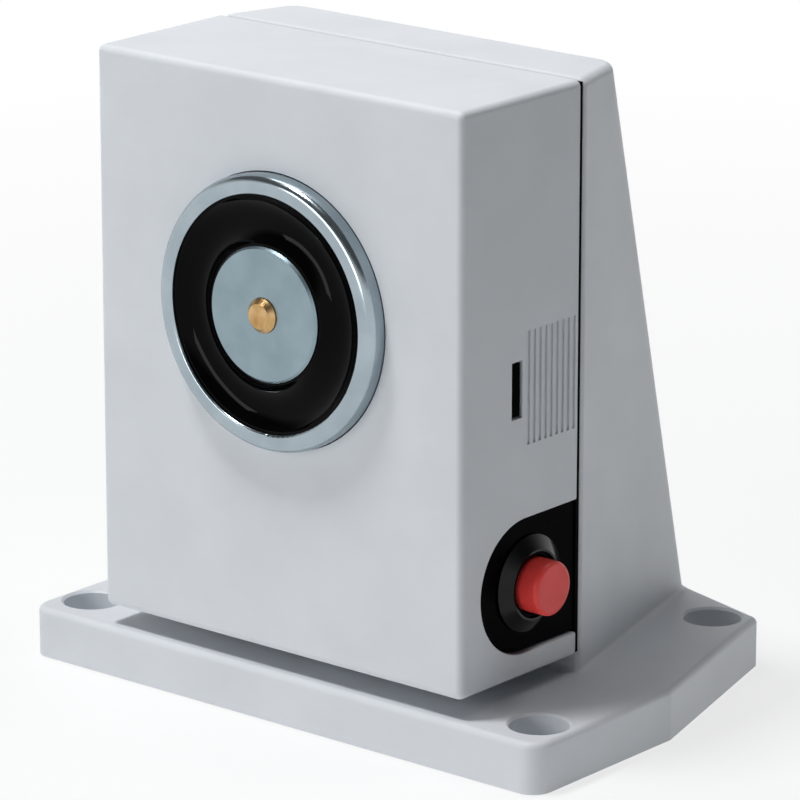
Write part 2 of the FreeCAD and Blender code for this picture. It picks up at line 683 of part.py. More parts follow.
def make_ejector(centre, chamber):
    flange_front = "(Sizes.core_shoulder + Sizes.free_clearance)"
    flange_back = f"({flange_front} + Sizes.pin_flange)"
    radius = "Sizes.pin_diameter / 2"
    tail = "Sizes.pin_tail_diameter / 2"
    pin = turned("ejector_pin",
                 [("0", "-Sizes.pin_proud"), (radius, "-Sizes.pin_proud"), (radius, flange_front),
                  ("Sizes.pin_flange_diameter / 2", flange_front),
                  ("Sizes.pin_flange_diameter / 2", flange_back), (tail, flange_back),
                  (tail, f"{flange_back} + Sizes.pin_tail"), ("0", f"{flange_back} + Sizes.pin_tail")],
                 "V_Axis", **centre)
    proud = size("pin_proud")
    soften(pin, "Chamfer", "Sizes.pin_chamfer", lambda e: lies_at(e, "Y", -proud))
    spring_back = f"({flange_back} + Sizes.pin_spring_length)"
    coil_spring("ejector_spring", f"{tail} + Sizes.free_clearance + Sizes.spring_wire / 2",
                f"{flange_back} + Sizes.spring_wire / 2", "Sizes.pin_spring_length - Sizes.spring_wire",
                "Sizes.pin_spring_turns", "V_Axis", **centre)
    turned("spring_plug",
           [("0", spring_back), (f"{chamber} - Sizes.thread_clearance", spring_back),
            (f"{chamber} - Sizes.thread_clearance", f"{spring_back} + Sizes.pin_plug_length"),
            (f"{tail}", f"{spring_back} + Sizes.pin_plug_length"),
            (f"{tail}", f"{spring_back} + Sizes.pin_plug_length / 2"),
            ("0", f"{spring_back} + Sizes.pin_plug_length / 2")],
           "V_Axis", **centre)


def coil_spring(label, radius, start, length, turns, axis, x="0", y="0", z="0"):
    # the round wire is drawn with six flats
    body = new_body(label, x, y, z)
    section = new_sketch(body, "XY_Plane")
    corners = []
    for i in range(6):
        along = f"({start} + Sizes.spring_wire / 2 * sin({60 * i}))"
        across = f"({radius} + Sizes.spring_wire / 2 * cos({60 * i}))"
        corners.append((across, along) if axis == "V_Axis" else (along, across))
    polygon(section, corners)
    doc.recompute()
    helix = body.newObject("PartDesign::AdditiveHelix", "coils")
    helix.Profile = section
    helix.ReferenceAxis = (section, [axis])
    helix.Mode = "height-turns-angle"
    helix.setExpression("Height", length)
    helix.setExpression("Turns", turns)
    doc.recompute()


# Release button, turned about a line across the unit; x = 0 is the wing's outer face

def make_button():
    centre = {"x": WING_FACE, "y": BUTTON_Y, "z": "Sizes.button_height"}
    cap = "Sizes.cap_diameter / 2"
    well = "(Sizes.bush_diameter / 2 - Sizes.bush_wall)"
    plunger = "Sizes.plunger_diameter / 2"
    cap_back = "(Sizes.cap_proud - Sizes.cap_length)"
    well_floor = "(-Sizes.cap_well_depth)"
    switch_front = "(-Sizes.wing_thickness)"
    switch_back = f"({switch_front} - Sizes.switch_length)"

    cap_body = turned("button_cap",
                      [(cap_back, f"{plunger} + Sizes.seat_clearance"), (cap_back, cap),
                       ("Sizes.cap_proud", cap), ("Sizes.cap_proud", "0"),
                       (f"{cap_back} + Sizes.plunger_socket", "0"),
                       (f"{cap_back} + Sizes.plunger_socket", f"{plunger} + Sizes.seat_clearance")],
                      "H_Axis", **centre)
    proud = size("cap_proud")
    soften(cap_body, "Fillet", "Sizes.cap_edge_radius", lambda e: lies_at(e, "X", proud))

    turned("collar_nut",
           [("0", "Sizes.bush_diameter / 2 + Sizes.thread_clearance"), ("0", "Sizes.collar_diameter / 2"),
            ("Sizes.collar_lip", "Sizes.collar_diameter / 2"),
            ("Sizes.collar_height", "Sizes.collar_face_diameter / 2"),
            ("Sizes.collar_height", "Sizes.bush_diameter / 2 + Sizes.thread_clearance")],
           "H_Axis", **centre)

    switch = new_body("switch_body", **centre)
    block = new_sketch(switch, "YZ_Plane", switch_back)
    half_side = "Sizes.switch_side / 2"
    rectangle(block, f"-{half_side}", f"-{half_side}", half_side, half_side)
    pad(switch, block, "Sizes.switch_length")
    bush = circle(new_sketch(switch, "YZ_Plane", switch_front), "0", "0", "Sizes.bush_diameter")
    pad(switch, bush, "Sizes.wing_thickness + Sizes.bush_proud")
    hollow = circle(new_sketch(switch, "YZ_Plane", "Sizes.bush_proud"), "0", "0", f"2 * {well}")
    pocket(switch, hollow, f"Sizes.bush_proud - {well_floor}")
    guide = circle(new_sketch(switch, "YZ_Plane", well_floor), "0", "0",
                   f"2 * ({plunger} + Sizes.running_clearance)")
    pocket(switch, guide, "Sizes.plunger_guide + Sizes.button_travel")

    turned("plunger",
           [(f"{well_floor} - Sizes.plunger_guide + Sizes.free_clearance", "0"),
            (f"{well_floor} - Sizes.plunger_guide + Sizes.free_clearance", plunger),
            (f"{cap_back} + Sizes.plunger_socket", plunger), (f"{cap_back} + Sizes.plunger_socket", "0")],
           "H_Axis", **centre)
    coil_spring("button_spring", f"{plunger} + Sizes.free_clearance + Sizes.spring_wire / 2",
                f"{well_floor} + Sizes.spring_wire / 2", f"{cap_back} - {well_floor} - Sizes.spring_wire",
                "Sizes.button_spring_turns", "H_Axis", **centre)

    tags = []
    for side in ("-", ""):
        tag = doc.addObject("Part::Box", "tag")
        tag.setExpression("Length", "Sizes.tag_length")
        tag.setExpression("Width", "Sizes.tag_thickness")
        tag.setExpression("Height", "Sizes.tag_width")
        place(tag, f"{WING_FACE} + {switch_back} - Sizes.tag_length",
              f"{BUTTON_Y} {side or '+'} Sizes.tag_spacing / 2 - Sizes.tag_thickness / 2",
              "Sizes.button_height - Sizes.tag_width / 2")
        tags.append(tag)
    group("switch_tags", tags)


def group(label, members):
    whole = doc.addObject("Part::Compound", label)
    whole.Links = members
    return node(whole, label)


# Screws, made of a shank and a slotted head and turned to point along +Y or -Y

def pointing(towards_back):
    # turns a part drawn along +Z to point along +Y or -Y
    return FreeCAD.Rotation(FreeCAD.Vector(1, 0, 0), -90 if towards_back else 90)


def screw(x, y, z, diameter, length, head_diameter, head_height, towards_back):
    shank = doc.addObject("Part::Cylinder", "shank")
    shank.setExpression("Radius", f"({diameter}) / 2")
    shank.setExpression("Height", length)
    head = doc.addObject("Part::Cylinder", "head")
    head.setExpression("Radius", f"({head_diameter}) / 2")
    head.setExpression("Height", head_height)
    head.setExpression("Placement.Base.z", f"-({head_height})")
    drive = doc.addObject("Part::Box", "drive")
    drive.setExpression("Length", f"2 * ({head_diameter})")
    drive.setExpression("Width", "Sizes.screw_drive_width")
    drive.setExpression("Height", "Sizes.screw_drive_depth")
    place(drive, f"-({head_diameter})", "-Sizes.screw_drive_width / 2", f"-({head_height})")
    solid = doc.addObject("Part::Fuse", "blank")
    solid.Base = shank
    solid.Tool = head
    slotted = doc.addObject("Part::Cut", "screw")
    slotted.Base = solid
    slotted.Tool = drive
    slotted.Placement = FreeCAD.Placement(FreeCAD.Vector(0, 0, 0), pointing(towards_back))
    return place(slotted, x, y, z)


def make_screws():
    head = ("Sizes.screw_head_diameter", "Sizes.screw_head_height")
    reach = "Sizes.carrier_thickness + Sizes.column_wall + Sizes.screw_boss_length - Sizes.screw_clearance"
    seat = "-Sizes.carrier_thickness"
    group("carrier_screws", [screw(x, seat, z, "Sizes.screw_diameter", reach, *head, True)
                             for x, z in carrier_screw_places()])
    seat = "-Sizes.screw_head_height - Sizes.screw_clearance"
    reach = f"Sizes.carrier_thickness + Sizes.pad_height + Sizes.pot_floor {seat} - Sizes.screw_clearance"
    group("magnet_screws", [screw(x, seat, z, "Sizes.screw_diameter", reach, *head, False)
                            for x, z in magnet_screw_places()])


# Terminal block on the carrier, with brass clamps and their screws

def make_terminals():
    block_front = "(-Sizes.carrier_thickness - Sizes.terminal_depth)"
    block_middle = "(Sizes.terminal_floor_height + Sizes.terminal_height / 2)"
    half_length = "(Sizes.terminal_count * Sizes.terminal_pitch / 2 + Sizes.terminal_margin)"
    block = new_body("terminal_block")
    outline = new_sketch(block, "XZ_Plane", "Sizes.carrier_thickness")
    rectangle(outline, f"-Sizes.terminal_x - {half_length}", "Sizes.terminal_floor_height",
              f"-Sizes.terminal_x + {half_length}", "Sizes.terminal_floor_height + Sizes.terminal_height")
    pad(block, outline, "Sizes.terminal_depth")
    clamp_front = f"({block_front} + Sizes.terminal_well_depth - Sizes.clamp_height)"
    chambers = new_sketch(block, "XZ_Plane", f"-{block_front}")
    ways = new_sketch(block, "XY_Plane", "Sizes.terminal_floor_height")
    room = "Sizes.thread_clearance"
    wire_y = f"({clamp_front} + Sizes.clamp_height / 2)"
    for x in terminal_places():
        rectangle(chambers, f"{x} - Sizes.clamp_width / 2 - {room}",
                  f"{block_middle} - Sizes.clamp_length / 2 - {room}",
                  f"{x} + Sizes.clamp_width / 2 + {room}",
                  f"{block_middle} + Sizes.clamp_length / 2 + {room}")
        circle(ways, x, wire_y, "Sizes.wire_hole_diameter")
    pocket(block, chambers, "Sizes.terminal_well_depth")
    pocket(block, ways, "Sizes.terminal_height", reverse=True)

    clamps = []
    screws = []
    for x in terminal_places():
        cage = doc.addObject("Part::Box", "cage")
        cage.setExpression("Length", "Sizes.clamp_width")
        cage.setExpression("Width", "Sizes.clamp_height")
        cage.setExpression("Height", "Sizes.clamp_length")
        place(cage, f"{x} - Sizes.clamp_width / 2", clamp_front, f"{block_middle} - Sizes.clamp_length / 2")
        way = doc.addObject("Part::Cylinder", "way")
        way.setExpression("Radius", "Sizes.wire_hole_diameter / 2")
        way.setExpression("Height", "2 * Sizes.clamp_length")
        place(way, x, wire_y, f"{block_middle} - Sizes.clamp_length")
        tap = doc.addObject("Part::Cylinder", "tap")
        tap.setExpression("Radius", "Sizes.terminal_shank_diameter / 2 + Sizes.thread_clearance")
        tap.setExpression("Height", "Sizes.clamp_height / 2")
        tap.Placement = FreeCAD.Placement(FreeCAD.Vector(0, 0, 0), pointing(True))
        place(tap, x, clamp_front, block_middle)
        hollow = doc.addObject("Part::Fuse", "hollow")
        hollow.Base = way
        hollow.Tool = tap
        clamp = doc.addObject("Part::Cut", "clamp")
        clamp.Base = cage
        clamp.Tool = hollow
        clamps.append(clamp)
        shank_length = "(Sizes.clamp_height - Sizes.wire_hole_diameter) / 2"
        screws.append(screw(x, clamp_front, block_middle, "Sizes.terminal_shank_diameter", shank_length,
                            "Sizes.terminal_screw_diameter", "Sizes.terminal_screw_height", True))
    group("terminal_clamps", clamps)
    group("terminal_screws", screws)


# Rubber grommet where the floor cable comes through the column's front wall

def make_grommet():
    sleeve = "Sizes.grommet_sleeve_diameter / 2"
    flange = "Sizes.grommet_flange_diameter / 2"
    bore = "Sizes.grommet_bore / 2"
    wall = "Sizes.column_wall"
    turned("cable_grommet",
           [(bore, "-Sizes.grommet_flange"), (flange, "-Sizes.grommet_flange"), (flange, "0"), (sleeve, "0"),
            (sleeve, wall), (flange, wall), (flange, f"{wall} + Sizes.grommet_flange"),
            (bore, f"{wall} + Sizes.grommet_flange")],
           "V_Axis", x="-Sizes.cable_x", z="Sizes.cable_height")


# Insulated leads: straight runs joined by round bends

def bent_lead(points):
    corners = [FreeCAD.Vector(*point) for point in points]
    bend = size("lead_bend")
    edges = []
    here = corners[0]
    for before, corner, after in zip(corners, corners[1:], corners[2:]):
        back = (before - corner).normalize()
        onward = (after - corner).normalize()
        half_turn = (math.pi - back.getAngle(onward)) / 2
        reach = bend * math.tan(half_turn)
        middle = (back + onward).normalize() * (bend / math.cos(half_turn) - bend)
        edges.append(Part.LineSegment(here, corner + back * reach).toShape())
        here = corner + onward * reach
        edges.append(Part.Arc(corner + back * reach, corner + middle, here).toShape())
    edges.append(Part.LineSegment(here, corners[-1]).toShape())
    section = Part.makeCircle(size("lead_diameter") / 2, corners[0], corners[1] - corners[0])
    return Part.Wire(edges).makePipeShell([Part.Wire([section])], True, True)


def make_leads():
    cover_front = -size("seam_gap") - size("cover_depth")
    rear_of_pot = -size("carrier_thickness") - size("pad_height")
    coil_end = rear_of_pot - size("pot_floor")
    in_groove = rear_of_pot + size("pad_height") / 2
    hole_z = size("magnet_height") - size("magnet_screw_circle") / 2
    apart = size("lead_hole_diameter") / 4
    middle = (size("terminal_count") - 1) / 2
    poles = [-size("terminal_x") + (i - middle) * size("terminal_pitch")
             for i in range(int(size("terminal_count")))]
    wire_y = (-size("carrier_thickness") - size("terminal_depth") + size("terminal_well_depth")
              - size("clamp_height") / 2)
    block_low = size("terminal_floor_height")
    block_top = block_low + size("terminal_height")
    block_middle = (block_low + block_top) / 2
    step = size("lead_step")

    coil = []
    for x, pole, run in ((apart, poles[-1], block_top + step), (-apart, poles[-2], block_top + 2 * step)):
        coil.append(bent_lead([(x, coil_end, hole_z), (x, in_groove, hole_z), (x, in_groove, run),
                               (pole, wire_y, run), (pole, wire_y, block_middle + size("lead_diameter"))]))

    tag_x = (size("cover_width") / 2 - size("wing_inset") - size("wing_thickness") - size("switch_length")
             - size("tag_length"))
    button_y = cover_front + size("button_from_front")
    switch = []
    for side, pole, run in ((1, poles[-1], block_low - step), (-1, poles[0], block_low - 2 * step)):
        y = button_y + side * size("tag_spacing") / 2
        switch.append(bent_lead([(tag_x, y, size("button_height")),
                                 (tag_x - 2 * step, y, size("button_height")),
                                 (tag_x - 4 * step, y, run), (pole, wire_y, run),
                                 (pole, wire_y, block_middle - size("lead_diameter"))]))

    for label, leads in (("coil_leads", coil), ("switch_leads", switch)):
        bundle = doc.addObject("Part::Feature", label)
        bundle.Shape = Part.makeCompound(leads)
        place(node(bundle, label))


make_floor_bracket()
make_front_cover()
make_carrier()
make_magnet()
make_button()
make_screws()
make_terminals()
make_grommet()
make_leads()

doc.recompute()
faults = [f"{thing.Label}: {thing.State}" for thing in doc.Objects
          if "Invalid" in thing.State or "Error" in thing.State]
for piece in pieces:
    if piece.Shape.isNull() or not piece.Shape.isValid() or not piece.Shape.Solids:
        faults.append(f"{piece.Label}: no sound solid")
if faults:
    raise RuntimeError("; ".join(faults))

os.makedirs("parts", exist_ok=True)
for piece in pieces:
    piece.Shape.exportStep(f"parts/{piece.Label}.step")
print(len(pieces), "pieces written")
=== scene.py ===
import math

import bpy
from mathutils import Matrix, Vector


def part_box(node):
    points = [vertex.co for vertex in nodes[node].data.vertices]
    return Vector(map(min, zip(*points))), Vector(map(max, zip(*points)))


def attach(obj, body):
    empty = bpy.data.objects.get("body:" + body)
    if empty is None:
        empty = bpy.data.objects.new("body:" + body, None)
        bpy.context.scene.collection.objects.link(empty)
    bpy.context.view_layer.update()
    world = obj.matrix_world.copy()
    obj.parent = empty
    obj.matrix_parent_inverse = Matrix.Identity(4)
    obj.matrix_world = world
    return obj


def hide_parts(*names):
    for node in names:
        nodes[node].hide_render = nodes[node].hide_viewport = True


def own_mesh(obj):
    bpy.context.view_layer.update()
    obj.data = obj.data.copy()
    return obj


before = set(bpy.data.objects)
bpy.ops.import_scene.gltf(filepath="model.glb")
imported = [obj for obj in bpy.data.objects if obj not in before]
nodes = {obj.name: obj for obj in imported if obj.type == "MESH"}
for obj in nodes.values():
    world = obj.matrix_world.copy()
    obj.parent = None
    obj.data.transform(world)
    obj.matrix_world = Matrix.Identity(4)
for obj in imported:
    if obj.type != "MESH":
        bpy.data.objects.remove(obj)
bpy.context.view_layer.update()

mm = 0.001
print("frame loaded,", len(nodes), "CAD nodes")


def hexToLinear(code):
    channels = [int(code[i:i + 2], 16) / 255 for i in (0, 2, 4)]
    return [c / 12.92 if c <= 0.04045 else ((c + 0.055) / 1.055) ** 2.4 for c in channels] + [1.0]


def addNode(tree, kind, settings=None, links=None):
    # settings are the node's own options or unlinked inputs, links feed its inputs
    made = tree.nodes.new(kind)
    for name, value in (settings or {}).items():
        if isinstance(name, str) and hasattr(made, name):
            setattr(made, name, value)
        else:
            made.inputs[name].default_value = value
    for name, source in (links or {}).items():
        tree.links.new(source, made.inputs[name])
    return made


magnetCentre = (0.0, 0.0, 76.9 * mm)
windingPitch = 0.7 * mm
# nearly all values of a noise texture lie in this range
noiseRange = {"From Min": 0.3, "From Max": 0.7}


def makeFinish(name, look):
    # colour in soft patches, gloss in smaller ones, and a fine relief: grain, turning marks or wound wire
    material = bpy.data.materials.new(name)
    material.use_nodes = True
    tree = material.node_tree
    shader = tree.nodes["Principled BSDF"]
    for socket, value in look["shader"].items():
        shader.inputs[socket].default_value = value
    where = addNode(tree, "ShaderNodeTexCoord").outputs["Object"]

    patches = addNode(tree, "ShaderNodeTexNoise", {"Scale": 1 / (look["patchMm"] * mm), "Detail": 3.0},
                      {"Vector": where})
    spread = addNode(tree, "ShaderNodeMapRange", noiseRange, {"Value": patches.outputs["Fac"]})
    dark, light = hexToLinear(look["dark"]), hexToLinear(look["light"])
    tint = addNode(tree, "ShaderNodeMix", {"data_type": "RGBA", 6: dark, 7: light},
                   {0: spread.outputs["Result"]})
    tree.links.new(tint.outputs[2], shader.inputs["Base Color"])

    smears = addNode(tree, "ShaderNodeTexNoise", {"Scale": 1 / (look["glossMm"] * mm), "Detail": 2.0},
                     {"Vector": where})
    low, high = look["roughness"]
    gloss = addNode(tree, "ShaderNodeMapRange", {**noiseRange, "To Min": low, "To Max": high},
                    {"Value": smears.outputs["Fac"]})
    tree.links.new(gloss.outputs["Result"], shader.inputs["Roughness"])

    if look.get("turned"):
        # turning marks depend only on the distance from the magnet's axis
        offset = addNode(tree, "ShaderNodeVectorMath", {"operation": "SUBTRACT", 1: magnetCentre}, {0: where})
        flat = addNode(tree, "ShaderNodeVectorMath", {"operation": "MULTIPLY", 1: (1.0, 0.0, 1.0)},
                       {0: offset.outputs[0]})
        radius = addNode(tree, "ShaderNodeVectorMath", {"operation": "LENGTH"}, {0: flat.outputs[0]})
        rings = {"noise_dimensions": "1D", "Scale": 1 / (look["grainMm"] * mm), "Detail": 2.0}
        height = addNode(tree, "ShaderNodeTexNoise", rings, {"W": radius.outputs["Value"]}).outputs["Fac"]
    elif look.get("wound"):
        # one rounded ridge for each turn of wire along the coil
        # a wave of scale 1 repeats every pi / 10 metres
        ridges = {"bands_direction": "Y", "Scale": math.pi / (10 * windingPitch), "Distortion": 0.4}
        height = addNode(tree, "ShaderNodeTexWave", ridges, {"Vector": where}).outputs["Fac"]
    else:
        height = addNode(tree, "ShaderNodeTexNoise", {"Scale": 1 / (look["grainMm"] * mm), "Detail": 2.0},
                         {"Vector": where}).outputs["Fac"]
    bump = addNode(tree, "ShaderNodeBump", {"Strength": 1.0, "Distance": look["reliefMm"] * mm},
                   {"Height": height})
    tree.links.new(bump.outputs["Normal"], shader.inputs["Normal"])
    return material


finishes = {
    # ABS moulding from a spark-eroded mould: pale cool grey, dull
    # its 0.05 mm grain is drawn coarser so that it shows
    "erodedAbs": {
        "dark": "D4D8DD", "light": "D9DDE2", "patchMm": 14, "roughness": (0.46, 0.54), "glossMm": 5,
        "grainMm": 0.45, "reliefMm": 0.012, "shader": {"IOR": 1.53, "Specular IOR Level": 0.3}},
    # powder coat on cast aluminium: the same grey, slightly glossier, with a shallow orange peel
    "powderCoat": {
        "dark": "D4D8DD", "light": "DADEE3", "patchMm": 20, "roughness": (0.4, 0.5), "glossMm": 7,
        "grainMm": 1.3, "reliefMm": 0.02, "shader": {"IOR": 1.5, "Specular IOR Level": 0.3}},
    # dull nickel on turned steel: a cool grey mirror, softened by fine turning marks
    "nickelPlate": {
        "dark": "9AA7AE", "light": "ACB8BF", "patchMm": 9, "roughness": (0.14, 0.22), "glossMm": 3,
        "turned": True, "grainMm": 0.5, "reliefMm": 0.003, "shader": {"Metallic": 1.0}},
    # ground steel with a thin blue-grey plate: a satin face with turning marks
    "groundSteel": {
        "dark": "86989F", "light": "91A3AB", "patchMm": 6, "roughness": (0.3, 0.4), "glossMm": 2.5,
        "turned": True, "grainMm": 0.35, "reliefMm": 0.006, "shader": {"Metallic": 1.0}},
    # black epoxy, poured and cured: a smooth dish with a slight swell
    # nearly black, lit only by thin crescents
    "blackEpoxy": {
        "dark": "020203", "light": "040405", "patchMm": 4, "roughness": (0.03, 0.07), "glossMm": 3,
        "grainMm": 7.0, "reliefMm": 0.05, "shader": {"IOR": 1.5, "Specular IOR Level": 0.06}},
    # turned brass, a little tarnished
    "turnedBrass": {
        "dark": "B08A58", "light": "D8B482", "patchMm": 2.2, "roughness": (0.22, 0.36), "glossMm": 1.5,
        "turned": True, "grainMm": 0.3, "reliefMm": 0.006, "shader": {"Metallic": 1.0}},
    # satin black polyamide: deep black, low sheen
    "blackPolyamide": {
        "dark": "030304", "light": "060607", "patchMm": 5, "roughness": (0.26, 0.34), "glossMm": 3,
        "grainMm": 1.2, "reliefMm": 0.006, "shader": {"IOR": 1.53, "Specular IOR Level": 0.008}},
    # polished black moulding: shows the lamps as soft crescents
    "glossBlackCollar": {
        "dark": "020203", "light": "050506", "patchMm": 5, "roughness": (0.14, 0.2), "glossMm": 3,
        "grainMm": 0.8, "reliefMm": 0.004, "shader": {"IOR": 1.5, "Specular IOR Level": 0.22}},
    # red polycarbonate, moulded: strong colour with a soft sheen
    "redPolycarbonate": {
        "dark": "E43E3A", "light": "EE4A46", "patchMm": 5, "roughness": (0.3, 0.4), "glossMm": 3,
        "grainMm": 0.5, "reliefMm": 0.006, "shader": {"IOR": 1.58, "Specular IOR Level": 0.28}},
    # matt black rubber
    "blackRubber": {
        "dark": "101010", "light": "1A1A1A", "patchMm": 5, "roughness": (0.65, 0.85), "glossMm": 3,
        "grainMm": 0.7, "reliefMm": 0.02, "shader": {"IOR": 1.52, "Specular IOR Level": 0.4}},
    # PVC insulation, drawn on smooth
    "blackPvc": {
        "dark": "121213", "light": "1C1C1E", "patchMm": 5, "roughness": (0.4, 0.5), "glossMm": 3,
        "grainMm": 0.6, "reliefMm": 0.008, "shader": {"IOR": 1.53}},
    "redPvc": {
        "dark": "7E1213", "light": "971A1A", "patchMm": 5, "roughness": (0.4, 0.5), "glossMm": 3,
        "grainMm": 0.6, "reliefMm": 0.008, "shader": {"IOR": 1.53}},
    # zinc-plated steel: pale grey with faint bluish blotches
    "zincPlate": {
        "dark": "9FA2A6", "light": "BEC1C4", "patchMm": 2, "roughness": (0.26, 0.38), "glossMm": 4,
        "grainMm": 0.6, "reliefMm": 0.006, "shader": {"Metallic": 1.0}},
    # hard-drawn spring wire: dark steel with a slight shine
    "springWire": {
        "dark": "6E6F72", "light": "8A8B8E", "patchMm": 1, "roughness": (0.24, 0.36), "glossMm": 2,
        "grainMm": 0.3, "reliefMm": 0.004, "shader": {"Metallic": 1.0}},
    # enamelled copper wire, wound close: brown-red ridges
    "enamelledCopper": {
        "dark": "8A4520", "light": "B5602C", "patchMm": 0.8, "roughness": (0.28, 0.42), "glossMm": 1.6,
        "wound": True, "reliefMm": 0.15, "shader": {"Metallic": 1.0}},
}
looks = {name: makeFinish(name, look) for name, look in finishes.items()}
print("finishes made,", len(looks))

wornBy = {
    "powderCoat": ["floor_bracket"],
    "erodedAbs": ["front_cover"],
    "blackPolyamide": ["carrier", "coil_bobbin", "switch_body", "plunger", "terminal_block"],
    "glossBlackCollar": ["collar_nut"],
    "nickelPlate": ["magnet_pot"],
    "groundSteel": ["magnet_core"],
    "blackEpoxy": ["potting_ring"],
    "turnedBrass": ["ejector_pin", "switch_tags", "terminal_clamps"],
    "redPolycarbonate": ["button_cap"],
    "zincPlate": ["carrier_screws", "magnet_screws", "spring_plug", "terminal_screws"],
    "springWire": ["ejector_spring", "button_spring"],
    "enamelledCopper": ["coil_winding"],
    "blackRubber": ["cable_grommet"],
    "blackPvc": ["coil_leads"],
    "redPvc": ["switch_leads"],
}
for look, wearers in wornBy.items():
    for name in wearers:
        nodes[name].data.materials.clear()
        nodes[name].data.materials.append(looks[look])
print("CAD nodes dressed")

# return springs: round wire wound on the ejector pin's tail and on the switch plunger
springs = {
    "ejectorSpring": {
        "node": "ejector_spring", "joint": "ejector_slide", "axis": (0.0, 1.0, 0.0), "travel": 1.2 * mm,
        "centre": magnetCentre, "turn": (-90.0, 0.0, 0.0), "radius": 2.2 * mm},
    "buttonSpring": {
        "node": "button_spring", "joint": "button_press", "axis": (1.0, 0.0, 0.0), "travel": 2.2 * mm,
        "centre": (0.0, -14.1 * mm, 30.2 * mm), "turn": (0.0, 90.0, 0.0), "radius": 2.6 * mm},
}
springWire = {"thickness": 0.6 * mm, "turns": 4.0, "stepsPerTurn": 40, "sides": 12}


def makeSpringTree():
    tree = bpy.data.node_groups.new("windSpring", "GeometryNodeTree")
    sockets = {"Length": "Float", "Radius": "Float", "Wire": "Float", "Turns": "Float", "Steps": "Int",
               "Sides": "Int", "Turn": "Rotation", "Start": "Vector", "Finish": "Material"}
    for name, kind in sockets.items():
        tree.interface.new_socket(name, in_out="INPUT", socket_type="NodeSocket" + kind)
    tree.interface.new_socket("Geometry", in_out="OUTPUT", socket_type="NodeSocketGeometry")
    given = addNode(tree, "NodeGroupInput").outputs
    halfWire = addNode(tree, "ShaderNodeMath", {"operation": "MULTIPLY", 1: 0.5}, {0: given["Wire"]})
    coil = addNode(tree, "GeometryNodeCurveSpiral", None,
                   {"Resolution": given["Steps"], "Rotations": given["Turns"], "Height": given["Length"],
                    "Start Radius": given["Radius"], "End Radius": given["Radius"]})
    laid = addNode(tree, "GeometryNodeTransform", None,
                   {"Geometry": coil.outputs[0], "Rotation": given["Turn"], "Translation": given["Start"]})
    section = addNode(tree, "GeometryNodeCurvePrimitiveCircle", None,
                      {"Resolution": given["Sides"], "Radius": halfWire.outputs[0]})
    wire = addNode(tree, "GeometryNodeCurveToMesh", {"Fill Caps": True},
                   {"Curve": laid.outputs[0], "Profile Curve": section.outputs[0]})
    smooth = addNode(tree, "GeometryNodeSetShadeSmooth", None, {"Geometry": wire.outputs[0]})
    real = addNode(tree, "GeometryNodeRealizeInstances", None, {"Geometry": smooth.outputs[0]})
    worn = addNode(tree, "GeometryNodeSetMaterial", None,
                   {"Geometry": real.outputs[0], "Material": given["Finish"]})
    addNode(tree, "NodeGroupOutput", None, {"Geometry": worn.outputs[0]})
    return tree


def windSpring(name, spring, tree):
    low, high = (Vector(corner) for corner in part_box(spring["node"]))
    along = Vector(spring["axis"])
    start = low.dot(along) + springWire["thickness"] / 2
    length = high.dot(along) - start - springWire["thickness"] / 2
    blank = bpy.data.objects.new(name + "Blank", bpy.data.meshes.new(name + "Blank"))
    bpy.context.scene.collection.objects.link(blank)
    modifier = blank.modifiers.new("windSpring", "NODES")
    modifier.node_group = tree
    values = {"Length": length, "Radius": spring["radius"], "Wire": springWire["thickness"],
              "Turns": springWire["turns"], "Steps": springWire["stepsPerTurn"], "Sides": springWire["sides"],
              "Turn": [math.radians(a) for a in spring["turn"]],
              "Start": Vector(spring["centre"]) + along * start, "Finish": looks["springWire"]}
    for socket in tree.interface.items_tree:
        if socket.in_out == "INPUT":
            modifier[socket.identifier] = values[socket.name]
    made = bpy.data.meshes.new_from_object(blank.evaluated_get(bpy.context.evaluated_depsgraph_get()))
    bpy.data.objects.remove(blank)
    piece = bpy.data.objects.new(name, made)
    bpy.context.scene.collection.objects.link(piece)
    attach(piece, "holder")
    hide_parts(spring["node"])
    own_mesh(piece)


springTree = makeSpringTree()
for springName, spring in springs.items():
    windSpring(springName, spring, springTree)
print("springs wound,", len(springs))

# studio: a pale floor, a high key from the front left, a soft box above,
# a slanting strip in front that lights the face and shows in the gloss, and a weak box behind
studio = {
    "floorColour": "EEF0F1",
    "floorRoughness": 0.9,
    "floorSheen": 0.1,
    "floorRadius": 6.0,
    "floorCorners": 64,
    "floorDrop": 0.2 * mm,
    "shadowReach": (0.14, 0.5),
    "floorLift": (0.72, 1.0),
    # painted fill light: the floor glows in a patch near the object's right front; its strength, centre and
    # reach follow
    "paintedFillGlow": 0.5,
    "paintedGlowCentre": (0.03, -0.02, 0.0),
    "paintedGlowReach": (0.06, 0.13),
    "ambient": 0.06,
    "ceiling": 0.10,
    "backdrop": (0.22, 0.5),
    "aim": (0.0, 0.0, 60 * mm),
}
lamps = {
    "keySoftbox": {
        "at": (-0.22, -0.285, 1.05), "size": (0.2, 0.2),
        "along": (1.0, 0.0, 0.0), "power": 7.6},
    "topSoftbox": {
        "at": (-0.4, 0.1, 1.0), "size": (0.4, 0.4),
        "along": (1.0, 0.0, 0.0), "power": 1.75},
    "frontStrip": {
        "at": (-0.17, -1.0, 0.34), "size": (0.85, 0.2),
        "along": (0.79, -0.28, -0.45), "power": 2.8},
    "rearSoftbox": {
        "at": (0.3, 0.4, 1.0), "size": (0.4, 0.4),
        "along": (1.0, 0.0, 0.0), "power": 1.6},
}


def whiteToTheEye(tree):
    # 1 where the camera, a mirror or a clear surface looks, 0 for diffuse light
    path = addNode(tree, "ShaderNodeLightPath").outputs
    either = addNode(tree, "ShaderNodeMath", {"operation": "MAXIMUM"},
                     {0: path["Is Camera Ray"], 1: path["Is Glossy Ray"]})
    return addNode(tree, "ShaderNodeMath", {"operation": "MAXIMUM"},
                   {0: either.outputs[0], 1: path["Is Transmission Ray"]}).outputs[0]


